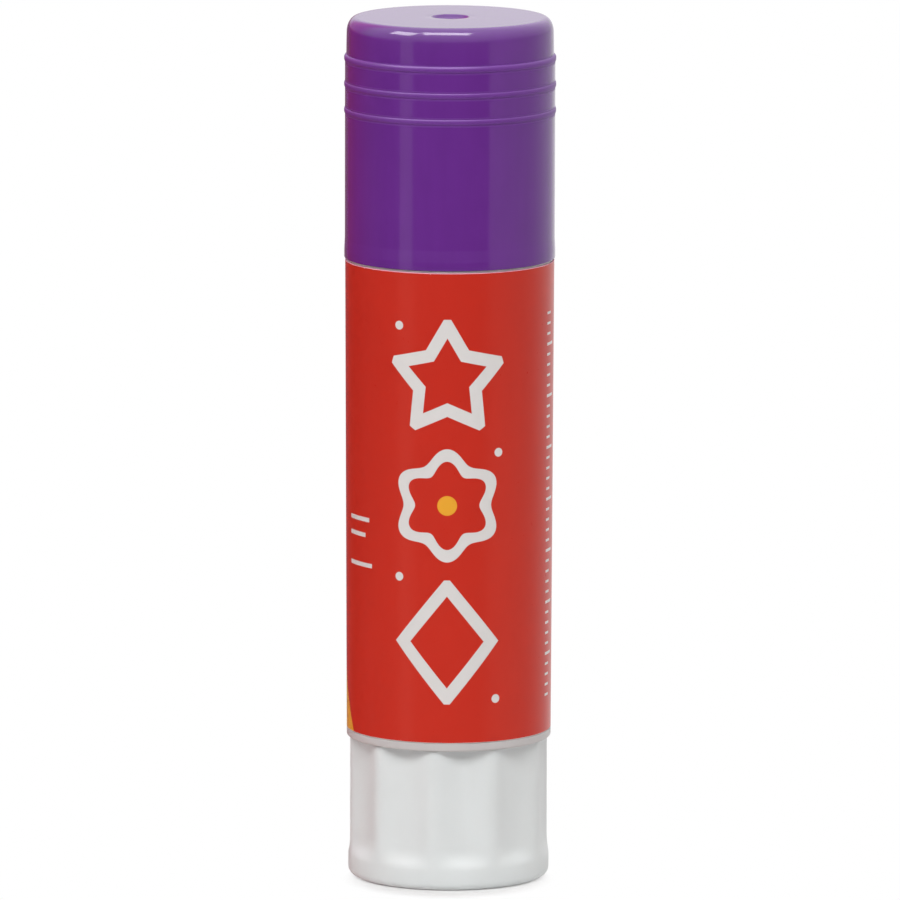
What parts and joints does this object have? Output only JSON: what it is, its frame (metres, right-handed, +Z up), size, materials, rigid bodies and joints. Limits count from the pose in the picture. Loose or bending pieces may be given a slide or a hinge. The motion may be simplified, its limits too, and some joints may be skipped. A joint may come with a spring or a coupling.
{
  "type": "glue stick",
  "caption": "Twist-up glue stick with a ribbed pull-off cap, a wrapped round barrel and a fluted base knob that turns an inner screw to raise the glue.",
  "frame": {"origin": "middle of the flat foot ring that the stick stands on, on the common axis of knob, barrel and cap", "axes": "+Z up along the common axis towards the cap, -Y towards the front of the wrap, +X to the right seen from the front"},
  "size_m": [0.0202, 0.0202, 0.083],
  "materials": {
    "cap_plastic": "glossy purple moulded plastic",
    "seal_plastic": "soft natural white plastic",
    "barrel_plastic": "satin white moulded plastic",
    "label_film": "glossy printed film, red with an orange-yellow corner and plain white shapes",
    "knob_plastic": "satin white moulded plastic",
    "spindle_plastic": "satin natural white moulded plastic",
    "carrier_plastic": "satin white moulded plastic",
    "glue": "waxy translucent purple glue that dries clear"
  },
  "bodies": {
    "barrel": {"barrel": "barrel_plastic", "label": "label_film"},
    "knob": {"base_knob": "knob_plastic", "screw_spindle": "spindle_plastic"},
    "carrier": {"glue_carrier": "carrier_plastic", "glue_core": "glue"},
    "cap": {"cap": "cap_plastic", "cap_seal": "seal_plastic"}
  },
  "joints": [
    {"name": "knob_turn", "type": "hinge", "parent": "barrel", "child": "knob", "pos_m": [0, 0, 0.01342], "axis": [0, 0, -1], "range_deg": [0, 5760]},
    {"name": "carrier_rise", "type": "slide", "parent": "barrel", "child": "carrier", "axis": [0, 0, 1], "range_m": [0, 0.048]},
    {"name": "cap_pull", "type": "slide", "parent": "carrier", "child": "cap", "axis": [0, 0, 1], "range_m": [0, 0.03]}
  ],
  "couplings": [
    {"joint": "carrier_rise", "follows": "knob_turn", "m_per_rad": 0.00047746}
  ]
}
